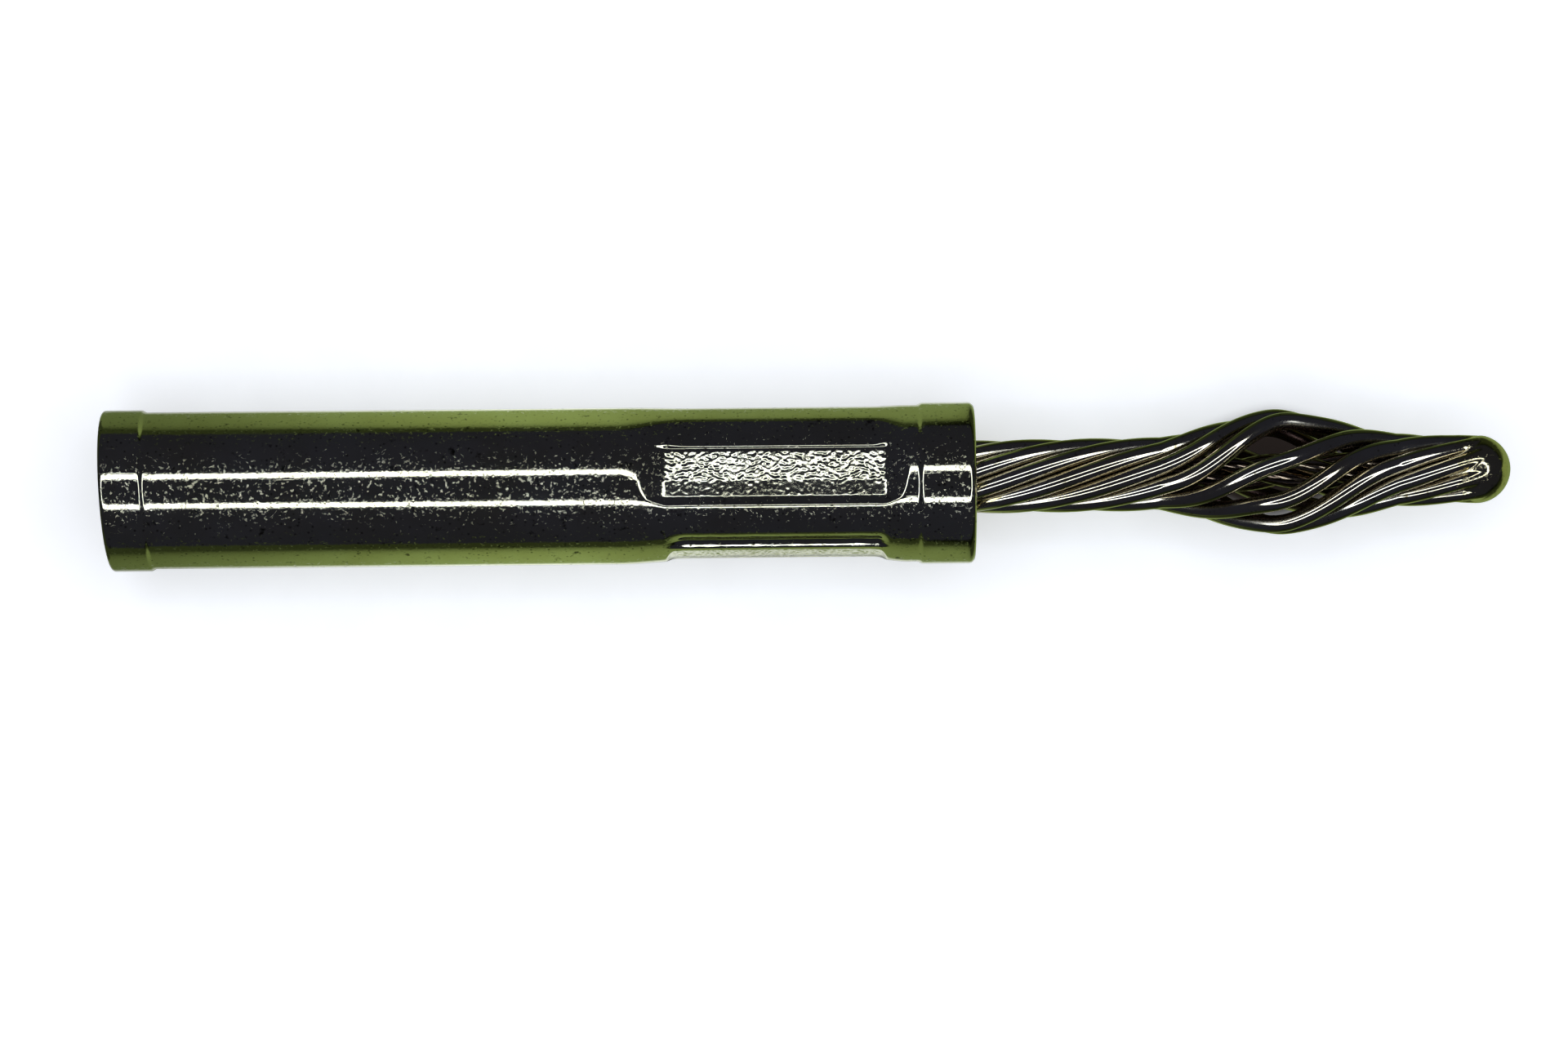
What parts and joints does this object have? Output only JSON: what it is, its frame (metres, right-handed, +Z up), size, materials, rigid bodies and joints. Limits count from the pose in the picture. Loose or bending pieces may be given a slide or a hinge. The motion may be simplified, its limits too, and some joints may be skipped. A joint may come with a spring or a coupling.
{
  "type": "twist-pin electrical contact",
  "caption": "Gold-plated twist-pin contact: crimped sleeve with a wire bore, a bundle of twisted spring wires with a sprung bulge, and a fused round tip",
  "frame": {"origin": "on the sleeve's axis, in its rear face, where the wire goes in", "axes": "+X along the contact from the wire end to the tip; +Z up as the contact lies on its side, the way the picture looks down on it; +Y towards the top of the picture"},
  "size_m": [0.0084, 0.001, 0.001],
  "materials": {
    "sleeve_plate": "bright gold plate over turned copper alloy, finely pitted",
    "strand_plate": "mirror-bright gold plate over drawn spring wire",
    "core_wire": "thinly plated soft copper wire, brownish in the shade",
    "tip_plate": "bright gold plate over fused metal"
  },
  "bodies": {
    "sleeve_and_core": {"crimp_sleeve": "sleeve_plate", "core_strand_1": "core_wire", "core_strand_2": "core_wire", "core_strand_3": "core_wire"},
    "spring_strands": {"outer_strand_1": "strand_plate", "outer_strand_2": "strand_plate", "outer_strand_3": "strand_plate", "outer_strand_4": "strand_plate", "outer_strand_5": "strand_plate", "outer_strand_6": "strand_plate", "outer_strand_7": "strand_plate", "outer_strand_8": "strand_plate", "outer_strand_9": "strand_plate", "tip_weld": "tip_plate"}
  },
  "joints": [
    {"name": "tip_advance", "type": "slide", "parent": "sleeve_and_core", "child": "spring_strands", "axis": [1, 0, 0], "range_m": [0, 0.00005], "stiffness_N_per_m": 200, "deforming": ["outer_strand_1", "outer_strand_2", "outer_strand_3", "outer_strand_4", "outer_strand_5", "outer_strand_6", "outer_strand_7", "outer_strand_8", "outer_strand_9"]}
  ]
}
